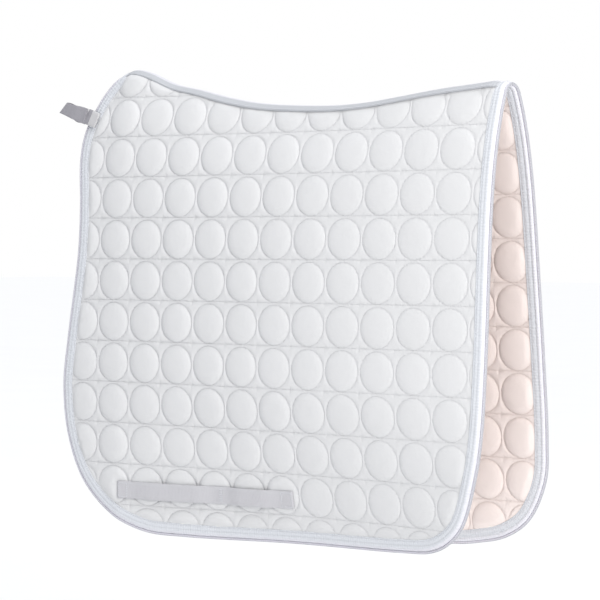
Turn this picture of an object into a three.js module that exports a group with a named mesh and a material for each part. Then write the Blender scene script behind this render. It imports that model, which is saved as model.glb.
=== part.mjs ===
// Saddle pad with a dressage cut, hanging folded over its spine. Millimetres.
// +X points to the horse's tail, -Y to its left side, +Z up.
// The origin is the underside of the spine at its lowest point, where a horse's back or a rail carries the pad.
// Each cloth layer is one piece of cloth in use. Here it is two rigid solids, parted along the fold line
// below which a flap swings away from the ridge.
import * as THREE from "three";

// Layers, counted through the pad's thickness from its middle surface.
const WADDING = 5.2;
const CLOTH = 1.4;
const GAP = 0.3;
const EASE = 0.8;
const PIPING_EASE = 1.2;
const HALF_PAD = WADDING / 2 + GAP + CLOTH;
const TAPE = 1;
const TAPE_FOLD = 12;
const PIPING_RADIUS = 1.6;

// The fold line between the ridge and the flaps.
const RIDGE_BOTTOM = -29;
const FLAP_TOP = -34;

// Ridge line of the middle surface from the withers to the loins: x, z.
const SPINE = [
  [-329, 58], [-312, 63.2], [-289, 59], [-248, 43.2], [-207, 33.5], [-160, 21], [-112, 12.3], [-60, 8],
  [0, 5.7], [50, 7.7], [95, 12.5], [150, 18.8], [205, 23.2], [242, 26.3],
];
const RIDGE_CURL = 9;
const CURL_FADE = 35;

// How far each side hangs out from the ridge's plane, and how it fans out further down.
const HANG = {
  left: { spread: 44.5, fade: 70, fan: 0 },
  right: { spread: 33, fade: 50, fan: 0.1 },
};
// The left flap stands out a little at the front, and tucks in low down in its middle.
const FLARE = { width: 7, fromX: -160, overX: 200, fromZ: 60, overZ: 350 };
const TUCK = { width: 30, fromZ: -322, overZ: 180, power: 1.2, middleX: -10, reachX: 290 };

// Edge of the cloth seen from the side: x, z. It runs from the withers down the front, along the bottom and up.
const FRONT_EDGE = [
  [-329, 58], [-335, 50], [-344, 39], [-353, 24], [-368, -13], [-370.5, -45], [-365, -100], [-365, -160],
  [-380, -269], [-386.5, -326], [-379, -386],
];
const FRONT_CORNER = [-354, -440];
const BOTTOM_EDGE = [[-312, -477.5], [-263, -497], [-206, -500.5], [-50, -498], [108, -495.5]];
const REAR_CURVE = {
  left: [[156, -491.5], [181, -480.5]],
  right: [[143, -491.5], [181, -482.5]],
};
const REAR_CORNER = { left: [202, -460], right: [213, -461.5] };
const REAR_EDGE = {
  left: [[223, -403], [232.5, -353], [237.5, -284], [240.5, -175], [241.5, -60], [242, 26.3]],
  right: [[237, -416.5], [242, -370], [243, -284], [242.5, -175], [242.5, -60], [242, 26.3]],
};

// Girth keeper: webbing sewn flat on the flap at both ends and once between. It stands off in two bays.
const KEEPER_WIDTH = 21;
const KEEPER_THICK = 1.4;
const KEEPER_Z = -448.5;
const KEEPER_STAND = 8.6;
const KEEPER_ROUTE = [
  [-298, 0], [-281, 0], [-260, 1], [-214, 1], [-168, 1], [-152, 0], [-142, 0], [-126, 1], [-100, 1], [-76, 1],
  [-59, 0], [-40, 0],
];

// Front attachment tab: a webbing loop sewn over the binding near the withers.
const TAB_WIDTH = 20;
const TAB_LENGTH = 40;
const TAB_THICK = 1.4;
const TAB_GAP = 6.4;
const TAB_Z = 9.5;
const TAB_SEWN = 19;
const TAB_RISE_DEG = { left: 18, right: -6 };
const TAB_FOLD = 2.2;
const TAB_THROAT = 22;
const TAB_EYE_START = 6;
const TAB_EYE_HALF = 0.4;
const TAB_CLEAR = 2.2;
const TAB_LIFT = 0.5;

const SIDES = { left: -1, right: 1 };
const FLAP_COLUMNS = 11;
const FLAP_ROWS = 9;
const RIDGE_COLUMNS = 9;
const RIDGE_DEPTHS = [0, 2.6, 9];
const RIDGE_LOWER_ROWS = 3;
const END_SHARE = 0.012;
const LINING_LEG = 4;
const PIPING_SIDES = 6;
const EDGE_STEPS = 40;
const SPINE_STEPS = 240;

const WHITE = new THREE.MeshStandardMaterial({ color: 0xf2f3f6, roughness: 0.85, metalness: 0 });
const LINING = new THREE.MeshStandardMaterial({ color: 0xe6dcda, roughness: 0.9, metalness: 0 });
const FILLING = new THREE.MeshStandardMaterial({ color: 0xf4f2ec, roughness: 1, metalness: 0 });
const SATIN = new THREE.MeshStandardMaterial({ color: 0xe4ebf5, roughness: 0.55, metalness: 0 });
const CORD = new THREE.MeshStandardMaterial({ color: 0xd5dce6, roughness: 0.6, metalness: 0 });
const WEBBING = new THREE.MeshStandardMaterial({ color: 0xc4c6ca, roughness: 0.75, metalness: 0 });

// ---- Curves ----

function smooth(points) {
  return new THREE.CatmullRomCurve3(points.map(([x, z]) => new THREE.Vector3(x, 0, z)), false, "centripetal");
}

const SPINE_POINTS = smooth(SPINE).getPoints(SPINE_STEPS);

function spineHeight(x) {
  const last = SPINE_POINTS.length - 1;
  if (x <= SPINE_POINTS[0].x) return SPINE_POINTS[0].z;
  if (x >= SPINE_POINTS[last].x) return SPINE_POINTS[last].z;
  const i = SPINE_POINTS.findIndex((p) => p.x > x);
  const a = SPINE_POINTS[i - 1];
  const b = SPINE_POINTS[i];
  return THREE.MathUtils.mapLinear(x, a.x, b.x, a.z, b.z);
}

// The whole edge of one side as fine points, with the places of its two rounded corners.
function edgeOf(side) {
  const front = [...FRONT_EDGE, FRONT_CORNER];
  const bottom = [...BOTTOM_EDGE, ...REAR_CURVE[side], REAR_CORNER[side]];
  const points = [...front, ...bottom, ...REAR_EDGE[side]];
  const fine = smooth(points).getPoints((points.length - 1) * EDGE_STEPS);
  const corners = [front.length - 1, front.length + bottom.length - 1];
  return { fine, front: corners[0] * EDGE_STEPS, rear: corners[1] * EDGE_STEPS };
}

function indexAtHeight(fine, z, from, to) {
  const step = Math.sign(to - from);
  let best = from;
  for (let i = from; i !== to; i += step) {
    if (Math.abs(fine[i].z - z) < Math.abs(fine[best].z - z)) best = i;
  }
  return best;
}

// Points at the given shares of the length between two places on a fine line.
function along(fine, from, to, shares) {
  const step = Math.sign(to - from);
  const walk = [];
  let length = 0;
  for (let i = from; i !== to + step; i += step) {
    if (walk.length) length += fine[i].distanceTo(fine[i - step]);
    walk.push({ at: length, point: fine[i] });
  }
  return shares.map((share) => {
    const want = share * length;
    const j = Math.max(1, walk.findIndex((w) => w.at >= want - 1e-9));
    const a = walk[j - 1];
    const b = walk[j];
    return a.point.clone().lerp(b.point, (want - a.at) / (b.at - a.at || 1));
  });
}

// ---- The middle surface of each side ----

// Half the pad's width at a place on one side. The ridge curls over, and the flaps hang and spread from it.
function halfWidth(side, x, z) {
  const depth = Math.max(spineHeight(x) - z, 0);
  const turn = Math.min(depth / RIDGE_CURL, 1);
  const curl = RIDGE_CURL * Math.sqrt(1 - (1 - turn) ** 2) * Math.exp(-depth / CURL_FADE);
  const { spread, fade, fan } = HANG[side];
  const hang = spread * (1 - Math.exp(-depth / fade)) + fan * depth + curl;
  if (side === "right") return hang;
  const { clamp } = THREE.MathUtils;
  const forward = clamp((FLARE.fromX - x) / FLARE.overX, 0, 1);
  const flare = FLARE.width * forward * clamp((FLARE.fromZ - z) / FLARE.overZ, 0, 1);
  const middle = Math.cos(clamp((x - TUCK.middleX) / TUCK.reachX, -1, 1) * Math.PI / 2);
  const low = Math.max((TUCK.fromZ - z) / TUCK.overZ, 0) ** TUCK.power;
  return hang + flare - TUCK.width * middle * low;
}

function surfacePoint(side, x, z) {
  return new THREE.Vector3(x, SIDES[side] * Math.max(halfWidth(side, x, z), GAP), z);
}

function surfaceNormal(side, x, z) {
  const h = 0.2;
  const slopeX = (halfWidth(side, x + h, z) - halfWidth(side, x - h, z)) / (2 * h);
  const slopeZ = (halfWidth(side, x, z + h) - halfWidth(side, x, z - h)) / (2 * h);
  return new THREE.Vector3(-slopeX, SIDES[side], -slopeZ).normalize();
}

// A grid holds a point and a normal for each column and row.
function gridCell(side, x, z) {
  return { point: surfacePoint(side, x, z), normal: surfaceNormal(side, x, z) };
}

function sharesWithHems(count, length, hemAtStart) {
  const hem = TAPE_FOLD / length;
  const start = hemAtStart ? hem : 0;
  const inner = Array.from({ length: count + 1 }, (_, i) => start + ((1 - hem - start) * i) / count);
  return hemAtStart ? [0, ...inner, 1] : [...inner, 1];
}

function ridgeGrid(side) {
  const { fine, front, rear } = edgeOf(side);
  const rows = RIDGE_DEPTHS.length + RIDGE_LOWER_ROWS;
  const lastFixed = RIDGE_DEPTHS.at(-1);
  const depthAt = (x, row) => {
    if (row < RIDGE_DEPTHS.length) return RIDGE_DEPTHS[row];
    const share = (row - RIDGE_DEPTHS.length + 1) / RIDGE_LOWER_ROWS;
    return THREE.MathUtils.lerp(lastFixed, spineHeight(x) - RIDGE_BOTTOM, share);
  };
  const ends = Array.from({ length: rows }, (_, row) => {
    const zFront = SPINE[0][1] - depthAt(SPINE[0][0], row);
    const zRear = SPINE.at(-1)[1] - depthAt(SPINE.at(-1)[0], row);
    return [
      fine[indexAtHeight(fine, zFront, 0, front)].x,
      fine[indexAtHeight(fine, zRear, fine.length - 1, rear)].x,
    ];
  });
  const shares = sharesWithHems(RIDGE_COLUMNS, ends[0][1] - ends[0][0], true);
  return shares.map((share) => ends.map(([xFront, xRear], row) => {
    const x = THREE.MathUtils.lerp(xFront, xRear, share);
    const z = spineHeight(x) - depthAt(x, row);
    if (row > 0) return gridCell(side, x, z);
    const slope = (spineHeight(x + 1) - spineHeight(x - 1)) / 2;
    return {
      point: new THREE.Vector3(x, SIDES[side] * GAP, z),
      normal: new THREE.Vector3(-slope, 0, 1).normalize(),
    };
  }));
}

function flapGrid(side) {
  const { fine, front, rear } = edgeOf(side);
  const iFront = indexAtHeight(fine, FLAP_TOP, 0, front);
  const iRear = indexAtHeight(fine, FLAP_TOP, fine.length - 1, rear);
  const across = sharesWithHems(FLAP_COLUMNS, fine[iRear].x - fine[iFront].x, true);
  const down = sharesWithHems(FLAP_ROWS, FLAP_TOP - FRONT_CORNER[1], false);
  const a = new THREE.Vector3(fine[iFront].x, 0, FLAP_TOP);
  const b = new THREE.Vector3(fine[iRear].x, 0, FLAP_TOP);
  const c = fine[front];
  const d = fine[rear];
  const leftLine = along(fine, iFront, front, down);
  const rightLine = along(fine, iRear, rear, down);
  const bottomLine = along(fine, front, rear, across);
  return across.map((s, i) => down.map((t, j) => {
    const blended = new THREE.Vector3()
      .addScaledVector(a.clone().lerp(b, s), 1 - t)
      .addScaledVector(bottomLine[i], t)
      .addScaledVector(leftLine[j], 1 - s)
      .addScaledVector(rightLine[j], s)
      .addScaledVector(a, -(1 - s) * (1 - t))
      .addScaledVector(b, -s * (1 - t))
      .addScaledVector(c, -(1 - s) * t)
      .addScaledVector(d, -s * t);
    return gridCell(side, blended.x, blended.z);
  }));
}

// ---- Solids ----

// A closed geometry from triangles of points. Triangles without area are dropped, and faces are turned out.
function closed(triangles) {
  const whole = triangles.filter(([a, b, c]) => {
    const cross = b.clone().sub(a).cross(c.clone().sub(a));
    return cross.length() > 1e-6;
  });
  const volume = whole.reduce((sum, [a, b, c]) => sum + a.dot(b.clone().cross(c)), 0);
  const points = whole.flatMap(([a, b, c]) => (volume > 0 ? [a, b, c] : [a, c, b]));
  const geometry = new THREE.BufferGeometry().setFromPoints(points);
  geometry.computeVertexNormals();
  return geometry;
}

function quad(a, b, c, d) {
  return [[a, b, c], [a, c, d]];
}

// One layer of the sandwich: the grid's middle surface moved along its normals to two levels.
function layer(grid, low, high) {
  const at = (level) => grid.map((column) =>
    column.map(({ point, normal }) => point.clone().addScaledVector(normal, level)));
  const top = at(high);
  const under = at(low);
  const columns = grid.length - 1;
  const rows = grid[0].length - 1;
  const triangles = [];
  for (let i = 0; i < columns; i++) {
    for (let j = 0; j < rows; j++) {
      triangles.push(...quad(top[i][j], top[i + 1][j], top[i + 1][j + 1], top[i][j + 1]));
      triangles.push(...quad(under[i][j], under[i + 1][j], under[i + 1][j + 1], under[i][j + 1])
        .map(([a, b, c]) => [a, c, b]));
    }
  }
  for (let i = 0; i < columns; i++) {
    triangles.push(...quad(top[i][0], under[i][0], under[i + 1][0], top[i + 1][0]));
    triangles.push(...quad(top[i][rows], top[i + 1][rows], under[i + 1][rows], under[i][rows]));
  }
  for (let j = 0; j < rows; j++) {
    triangles.push(...quad(under[0][j], top[0][j], top[0][j + 1], under[0][j + 1]));
    triangles.push(...quad(under[columns][j], under[columns][j + 1], top[columns][j + 1], top[columns][j]));
  }
  return closed(triangles);
}

// A solid through a row of sections, each a closed ring of points, with flat ends.
// A side named in turned is cut along its other diagonal, to lie parallel to the layer beside it.
function sweep(sections, turned = []) {
  const triangles = [];
  const count = sections[0].length;
  for (let i = 0; i + 1 < sections.length; i++) {
    for (let k = 0; k < count; k++) {
      const n = (k + 1) % count;
      const corners = [sections[i][k], sections[i + 1][k], sections[i + 1][n], sections[i][n]];
      if (turned.includes(k)) corners.unshift(corners.pop());
      triangles.push(...quad(...corners));
    }
  }
  const first = sections[0];
  const last = sections.at(-1);
  for (const [a, b, c] of ringFaces(first)) {
    triangles.push([first[a], first[b], first[c]]);
    triangles.push([last[a], last[c], last[b]]);
  }
  return closed(triangles);
}

// Triangles that fill a ring of points, which may be hollowed like a letter U.
function ringFaces(ring) {
  const normal = new THREE.Vector3();
  ring.forEach((p, i) => normal.add(p.clone().cross(ring[(i + 1) % ring.length])));
  normal.normalize();
  const u = ring[1].clone().sub(ring[0]).normalize();
  const v = normal.clone().cross(u);
  const outline = ring.map((p) => new THREE.Vector2(p.dot(u), p.dot(v)));
  return THREE.ShapeUtils.triangulateShape(outline, []);
}

// Points along a bound edge: the edge itself, the point one tape fold further in, and the way out of the cloth.
function boundEdge(pairs) {
  return pairs.map(([edge, inner], i) => {
    const before = pairs[Math.max(i - 1, 0)][0].point;
    const after = pairs[Math.min(i + 1, pairs.length - 1)][0].point;
    const out = after.clone().sub(before).cross(edge.normal).normalize();
    if (edge.normal.y === 0) out.setY(0).normalize();
    if (out.dot(edge.point.clone().sub(inner.point)) < 0) out.negate();
    return { edge, inner, out };
  });
}

function bindingSections(edges) {
  const low = HALF_PAD + EASE;
  const high = low + TAPE;
  return edges.map(({ edge, inner, out }) => {
    const outer = edge.point.clone().addScaledVector(out, EASE + TAPE);
    const web = edge.point.clone().addScaledVector(out, EASE);
    const at = (point, normal, level) => point.clone().addScaledVector(normal, level);
    return [
      at(inner.point, inner.normal, high), at(outer, edge.normal, high),
      at(outer, edge.normal, -high), at(inner.point, inner.normal, -high),
      at(inner.point, inner.normal, -low), at(web, edge.normal, -low),
      at(web, edge.normal, low), at(inner.point, inner.normal, low),
    ];
  });
}

function pipingSections(edges) {
  const stand = EASE + TAPE + PIPING_EASE + PIPING_RADIUS;
  return edges.map(({ edge, out }) => {
    const centre = edge.point.clone().addScaledVector(out, stand);
    return Array.from({ length: PIPING_SIDES }, (_, k) => {
      const angle = (2 * Math.PI * k) / PIPING_SIDES;
      return centre.clone()
        .addScaledVector(out, PIPING_RADIUS * Math.cos(angle))
        .addScaledVector(edge.normal, PIPING_RADIUS * Math.sin(angle));
    });
  });
}

// ---- Pieces ----

const pad = new THREE.Group();

function piece(name, geometry, material) {
  const mesh = new THREE.Mesh(geometry, material);
  mesh.name = name;
  pad.add(mesh);
}

function addLayers(prefix, grid) {
  const half = WADDING / 2;
  piece(`${prefix}_cover`, layer(grid, half + GAP, HALF_PAD), WHITE);
  piece(`${prefix}_wadding`, layer(grid, -half, half), FILLING);
  piece(`${prefix}_lining`, layer(grid, -HALF_PAD, -half - GAP), LINING);
}

function addBinding(prefix, pairs) {
  const edges = boundEdge(pairs);
  piece(`${prefix}_binding`, sweep(bindingSections(edges), [LINING_LEG]), SATIN);
  piece(`${prefix}_piping`, sweep(pipingSections(edges)), CORD);
}

function flapEdgePairs(grid) {
  const m = grid.length - 1;
  const n = grid[0].length - 1;
  const pairs = [];
  for (let j = 0; j < n; j++) pairs.push([grid[0][j], grid[1][j]]);
  pairs.push([grid[0][n], grid[1][n - 1]]);
  for (let i = 1; i < m; i++) pairs.push([grid[i][n], grid[i][n - 1]]);
  pairs.push([grid[m][n], grid[m - 1][n - 1]]);
  for (let j = n - 1; j >= 0; j--) pairs.push([grid[m][j], grid[m - 1][j]]);
  return pairs;
}

function addKeeper(side) {
  const rest = HALF_PAD + GAP + KEEPER_THICK / 2;
  const half = KEEPER_WIDTH / 2;
  const sections = KEEPER_ROUTE.map(([x, lift]) => {
    const ends = [half, -half].map((dz) => {
      const normal = surfaceNormal(side, x, KEEPER_Z + dz);
      return { at: surfacePoint(side, x, KEEPER_Z + dz), normal };
    });
    const level = rest + lift * KEEPER_STAND;
    const levels = [level - KEEPER_THICK / 2, level + KEEPER_THICK / 2];
    const [above, below] = ends;
    return [
      above.at.clone().addScaledVector(above.normal, levels[1]),
      above.at.clone().addScaledVector(above.normal, levels[0]),
      below.at.clone().addScaledVector(below.normal, levels[0]),
      below.at.clone().addScaledVector(below.normal, levels[1]),
    ];
  });
  piece(`${side}_girth_keeper`, sweep(sections), WEBBING);
}

// The tab in its own plane: along its length from the edge, and across the two layers of webbing.
function tabOutline() {
  const tip = TAB_GAP / 2 + TAB_THICK;
  const straight = TAB_LENGTH - tip;
  const outline = new THREE.Shape();
  outline.moveTo(0, -TAB_THICK);
  outline.lineTo(TAB_THROAT, -tip);
  outline.lineTo(straight, -tip);
  outline.absarc(straight, 0, tip, -Math.PI / 2, Math.PI / 2, false);
  outline.lineTo(TAB_THROAT, tip);
  outline.lineTo(0, TAB_THICK);
  outline.closePath();
  const eye = new THREE.Path();
  eye.moveTo(TAB_EYE_START, -TAB_EYE_HALF);
  eye.lineTo(TAB_EYE_START, TAB_EYE_HALF);
  eye.lineTo(TAB_THROAT, TAB_GAP / 2);
  eye.lineTo(straight, TAB_GAP / 2);
  eye.absarc(straight, 0, TAB_GAP / 2, Math.PI / 2, -Math.PI / 2, true);
  eye.lineTo(TAB_THROAT, -TAB_GAP / 2);
  eye.closePath();
  outline.holes.push(eye);
  return outline;
}

function addTab(side) {
  const sign = SIDES[side];
  const { fine, front } = edgeOf(side);
  const xEdge = fine[indexAtHeight(fine, TAB_Z, 0, front)].x;
  const seat = HALF_PAD + EASE + TAPE;
  const outFace = halfWidth(side, xEdge, TAB_Z) + seat;
  const sewnThick = 2 * TAB_THICK;
  const xFront = xEdge - EASE - TAPE - PIPING_EASE - 2 * PIPING_RADIUS - TAB_CLEAR;

  // The sewn end lies flat on the binding and reaches the loop in front of the piping.
  const sewn = [0, TAB_SEWN].map((inset) => {
    const x = xEdge + inset;
    return [1, -1].flatMap((up) => {
      const z = TAB_Z + up * TAB_WIDTH / 2;
      const at = surfacePoint(side, x, z);
      const n = surfaceNormal(side, x, z);
      const near = at.clone().addScaledVector(n, seat + TAB_LIFT);
      const far = at.clone().addScaledVector(n, seat + TAB_LIFT + sewnThick);
      return up > 0 ? [far, near] : [near, far];
    });
  });
  const tilt = THREE.MathUtils.degToRad(TAB_RISE_DEG[side]);
  const lead = sewn[0].map((p) => p.clone().setX(xFront + TAB_FOLD + (p.z - TAB_Z) * Math.tan(tilt)));
  piece(`${side}_tab_sewn_end`, sweep([lead, ...sewn]), WEBBING);

  const loop = new THREE.ExtrudeGeometry(tabOutline(), {
    depth: TAB_WIDTH, bevelEnabled: false, curveSegments: 6,
  });
  const forward = new THREE.Vector3(-Math.cos(tilt), 0, Math.sin(tilt));
  const across = new THREE.Vector3(0, sign, 0);
  const width = forward.clone().cross(across);
  const root = new THREE.Vector3(xFront, sign * (outFace + TAB_LIFT + TAB_THICK), TAB_Z)
    .addScaledVector(width, -TAB_WIDTH / 2);
  loop.applyMatrix4(new THREE.Matrix4().makeBasis(forward, across, width).setPosition(root));
  piece(`${side}_tab_loop`, loop, WEBBING);
}

function between(a, b, share) {
  return { point: a.point.clone().lerp(b.point, share), normal: a.normal.clone().lerp(b.normal, share) };
}

// A tape over or under the ridge, between the two sides' grids, leaving the bound ends free.
function addSpineTape(name, grids, rows, low) {
  const columns = grids.left.length;
  const sections = [];
  for (let i = 1; i < columns - 1; i++) {
    const next = i === 1 ? 2 : i - 1;
    const share = i === 1 || i === columns - 2 ? END_SHARE : 0;
    const cell = (grid, j) => between(grid[i][j], grid[next][j], share);
    const line = [];
    for (let j = rows; j >= 0; j--) line.push(cell(grids.left, j));
    for (let j = 0; j <= rows; j++) line.push(cell(grids.right, j));
    const at = (level) => line.map(({ point, normal }) => point.clone().addScaledVector(normal, level));
    sections.push([...at(low + TAPE), ...at(low).reverse()]);
  }
  piece(name, sweep(sections), SATIN);
}

const ridges = {};
for (const side of Object.keys(SIDES)) {
  const ridge = ridgeGrid(side);
  ridges[side] = ridge;
  addLayers(`${side}_ridge`, ridge);
  addBinding(`${side}_ridge_front`, ridge[0].map((cell, j) => [cell, ridge[1][j]]));
  addBinding(`${side}_ridge_rear`, ridge.at(-1).map((cell, j) => [cell, ridge.at(-2)[j]]));

  const flap = flapGrid(side);
  addLayers(`${side}_flap`, flap);
  addBinding(`${side}_flap`, flapEdgePairs(flap));
  addKeeper(side);
  addTab(side);
}
addSpineTape("spine_tape_outer", ridges, 1, HALF_PAD + EASE);
addSpineTape("spine_tape_inner", ridges, 2, -HALF_PAD - EASE - TAPE);

export default pad;
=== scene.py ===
"""Looks of a quilted saddle pad with a dressage cut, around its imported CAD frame.

The pad hangs folded over its spine. Shapes are worked out in millimetres, in the frame's axes: +X to the
horse's tail, -Y to its left, +Z up. Each side of the pad is first laid out as flat cloth, with x along the
horse and v up the cloth, then curved.
"""

import math

import bmesh
import bpy
import numpy as np
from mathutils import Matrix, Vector


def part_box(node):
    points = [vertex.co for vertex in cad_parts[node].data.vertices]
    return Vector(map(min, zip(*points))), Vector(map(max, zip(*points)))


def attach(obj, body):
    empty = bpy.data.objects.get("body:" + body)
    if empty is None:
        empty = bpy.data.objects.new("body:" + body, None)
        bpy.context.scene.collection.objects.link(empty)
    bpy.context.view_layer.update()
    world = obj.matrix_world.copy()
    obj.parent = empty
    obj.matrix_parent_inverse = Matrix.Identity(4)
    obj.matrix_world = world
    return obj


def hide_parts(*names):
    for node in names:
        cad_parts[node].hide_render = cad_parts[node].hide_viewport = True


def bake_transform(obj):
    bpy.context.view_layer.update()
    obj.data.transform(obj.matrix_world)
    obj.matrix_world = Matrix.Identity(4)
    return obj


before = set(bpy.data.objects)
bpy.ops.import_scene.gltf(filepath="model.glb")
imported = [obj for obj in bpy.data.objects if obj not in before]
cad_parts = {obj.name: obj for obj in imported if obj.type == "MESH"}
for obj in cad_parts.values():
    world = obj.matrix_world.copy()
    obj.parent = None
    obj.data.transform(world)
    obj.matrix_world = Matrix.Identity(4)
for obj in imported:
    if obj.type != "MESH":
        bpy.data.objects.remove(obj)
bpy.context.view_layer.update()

# ---- The cloth's middle surface, as in the CAD source ----

SPINE = [
    (-329, 58), (-312, 63.2), (-289, 59), (-248, 43.2), (-207, 33.5), (-160, 21), (-112, 12.3), (-60, 8),
    (0, 5.7), (50, 7.7), (95, 12.5), (150, 18.8), (205, 23.2), (242, 26.3),
]
RIDGE_CURL = 9
CURL_FADE = 35
# How each side spreads as it hangs.
HANG = {
    "left": {"spread": 44.5, "fade": 70, "fan": 0},
    "right": {"spread": 33, "fade": 50, "fan": 0.1},
}
# The left flap stands out a little at the front, and tucks in low down in its middle.
FLARE = {"width": 7, "from_x": -160, "over_x": 200, "from_z": 60, "over_z": 350}
TUCK = {"width": 30, "from_z": -322, "over_z": 180, "power": 1.2, "middle_x": -10, "reach_x": 290}
FRONT_EDGE = [
    (-329, 58), (-335, 50), (-344, 39), (-353, 24), (-368, -13), (-370.5, -45), (-365, -100), (-365, -160),
    (-380, -269), (-386.5, -326), (-379, -386), (-354, -440),
]
BOTTOM_EDGE = [(-312, -477.5), (-263, -497), (-206, -500.5), (-50, -498), (108, -495.5)]
REAR_EDGE = {
    "left": [
        (156, -491.5), (181, -480.5), (202, -460), (223, -403), (232.5, -353), (237.5, -284), (240.5, -175),
        (241.5, -60), (242, 26.3),
    ],
    "right": [
        (143, -491.5), (181, -482.5), (213, -461.5), (237, -416.5), (242, -370), (243, -284), (242.5, -175),
        (242.5, -60), (242, 26.3),
    ],
}
SIGN = {"left": -1, "right": 1}
# The height on the surface where v is 0.
DATUM_Z = -243.5
# The reach of each side's table of the surface, in x, in v and down from the spine, and its steps.
TABLE_X = (-404, 266)
TABLE_V = (-292, 350)
TABLE_DEPTH = 600
GRID_STEP = 1.5
CURL_STEPS = 24

# ---- Quilting ----

PITCH = np.array([50.0, 50.2])
CIRCLE_RADIUS = 23.4
# Each circle sits low in its square, where it meets the straight row of stitches.
CIRCLE_DROP = 1.3
# A circle's centre on each side: x along the horse and v up the cloth.
CIRCLE_PHASE = {"left": (-6.8, 0.0), "right": (11.0, 25.1)}
# The quilting is laid out as far as here in x and v, beyond the pad's highest place.
QUILT_CORNER = np.array([250, 345])
SPOKES = 32
INNER_RINGS = [0.24, 0.45, 0.62, 0.75, 0.85, 0.92, 0.965, 0.99, 1.0]
OUTER_RINGS = [0.1, 0.25, 0.45, 0.7, 0.88, 1.0]
SEAM_LEVEL = 1.5
PUFF = 4.1
# The two powers that round a puff's dome, and how much puffs vary in height and lean over.
DOME = (3.2, 0.7)
PUFF_VARIES = 0.07
PUFF_LEANS = 0.05
# The cover's puffs are flatter towards the rear.
FLATTER = {"share": 0.45, "from_x": -250, "over_x": 400}
# The star between four circles rises beside each one, and dips at the row of stitches through it.
STAR_PUFF = 1.9
STAR_RISE = 2.2
ROW_DIP = {"share": 0.8, "over": 1.6}
# The quilting rises to its own level from just under the tape's edge.
TAPE_OVERLAP = 2.5
TAPE_RELEASE = 9
HEM_LEVEL = 2.0
HEM_RISE = {"from": 4, "over": 16}
# How far the cover (1) and the lining (-1) stand out along the ridge, and how far down that fades.
RIDGE_LEVEL = {1: 5.0, -1: 4.5}
RIDGE_FADE = 45
# The padding is thinner over the withers.
WITHERS = {"thinner": 2.6, "from_x": -140, "over_x": 120}
CLOTH_THICK = 0.7

# ---- Where the girth keepers lie ----

KEEPER_WIDTH = 21.0
KEEPER_THICK = 1.4
# The webbing's middle line is a little lower at its front end.
KEEPER_Z = -448.5
KEEPER_DROP = {"height": 2.4, "from_x": -60, "over_x": 238}
KEEPER_REST = 4.6
# The webbing is sewn down at both ends and once between, and stands off a little in the two bays: x, share.
KEEPER_STAND = 2.8
KEEPER_ROUTE = [
    (-298, 0), (-281, 0), (-246, 1), (-186, 1), (-153, 0), (-141, 0), (-116, 1), (-88, 1), (-58, 0), (-40, 0),
]


def keeper_z(x):
    """The height of the webbing's middle line."""
    forward = (KEEPER_DROP["from_x"] - np.asarray(x, float)) / KEEPER_DROP["over_x"]
    return KEEPER_Z - KEEPER_DROP["height"] * np.clip(forward, 0, 1)


def keeper_level(x):
    """How far the webbing's middle layer stands out of the pad's middle surface."""
    xs, lifts = (np.array(part, float) for part in zip(*KEEPER_ROUTE))
    x = np.asarray(x, float)
    i = np.clip(np.searchsorted(xs, x, side="right") - 1, 0, len(xs) - 2)
    share = smoothstep((x - xs[i]) / (xs[i + 1] - xs[i]))
    return KEEPER_REST + KEEPER_STAND * (lifts[i] + (lifts[i + 1] - lifts[i]) * share)


# ---- Edges ----

TAPE_WIDTH = 12.5
TAPE_THICK = 0.7
PIPING_RADIUS = 1.6
PIPING_STAND = 2.9
PIPING_SIDES = 10
STITCH_INSET = 10.8
RIDGE_TAPE = 12.0
EDGE_STEP = 3.0
# Near both of its ends the bound edge turns to follow the ridge.
END_TURN = 22


def catmull(points, steps=24):
    """Points on the smooth centripetal curve through the given ones."""
    p = np.array(points, float)
    p = np.vstack([2 * p[0] - p[1], p, 2 * p[-1] - p[-2]])
    curve = [p[1]]
    for i in range(1, len(p) - 2):
        gaps = np.linalg.norm(np.diff(p[i - 1:i + 3], axis=0), axis=1) ** 0.5
        a, b, c, d = p[i - 1:i + 3]
        t1 = ((b - a) / gaps[0] - (c - a) / (gaps[0] + gaps[1]) + (c - b) / gaps[1]) * gaps[1]
        t2 = ((c - b) / gaps[1] - (d - b) / (gaps[1] + gaps[2]) + (d - c) / gaps[2]) * gaps[1]
        s = (np.arange(1, steps + 1) / steps)[:, None]
        curve.extend(b + t1 * s + (3 * (c - b) - 2 * t1 - t2) * s**2 + (2 * (b - c) + t1 + t2) * s**3)
    return np.array(curve)


SPINE_LINE = catmull(SPINE)


def spine_height(x):
    return np.interp(x, SPINE_LINE[:, 0], SPINE_LINE[:, 1])


def half_width(side, x, z):
    """Half the pad's width at a place on one side, as in the CAD source."""
    depth = np.maximum(spine_height(x) - z, 0)
    turn = np.minimum(depth / RIDGE_CURL, 1)
    curl = RIDGE_CURL * np.sqrt(1 - (1 - turn) ** 2) * np.exp(-depth / CURL_FADE)
    spread, fade, fan = HANG[side].values()
    hang = spread * (1 - np.exp(-depth / fade)) + fan * depth + curl
    if side == "right":
        return hang
    low = np.maximum((TUCK["from_z"] - z) / TUCK["over_z"], 0) ** TUCK["power"]
    middle = np.cos(np.clip((x - TUCK["middle_x"]) / TUCK["reach_x"], -1, 1) * np.pi / 2)
    forward = np.clip((FLARE["from_x"] - x) / FLARE["over_x"], 0, 1)
    flare = FLARE["width"] * forward * np.clip((FLARE["from_z"] - z) / FLARE["over_z"], 0, 1)
    return hang + flare - TUCK["width"] * middle * low


def smoothstep(t):
    t = np.clip(t, 0, 1)
    return t * t * (3 - 2 * t)


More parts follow.
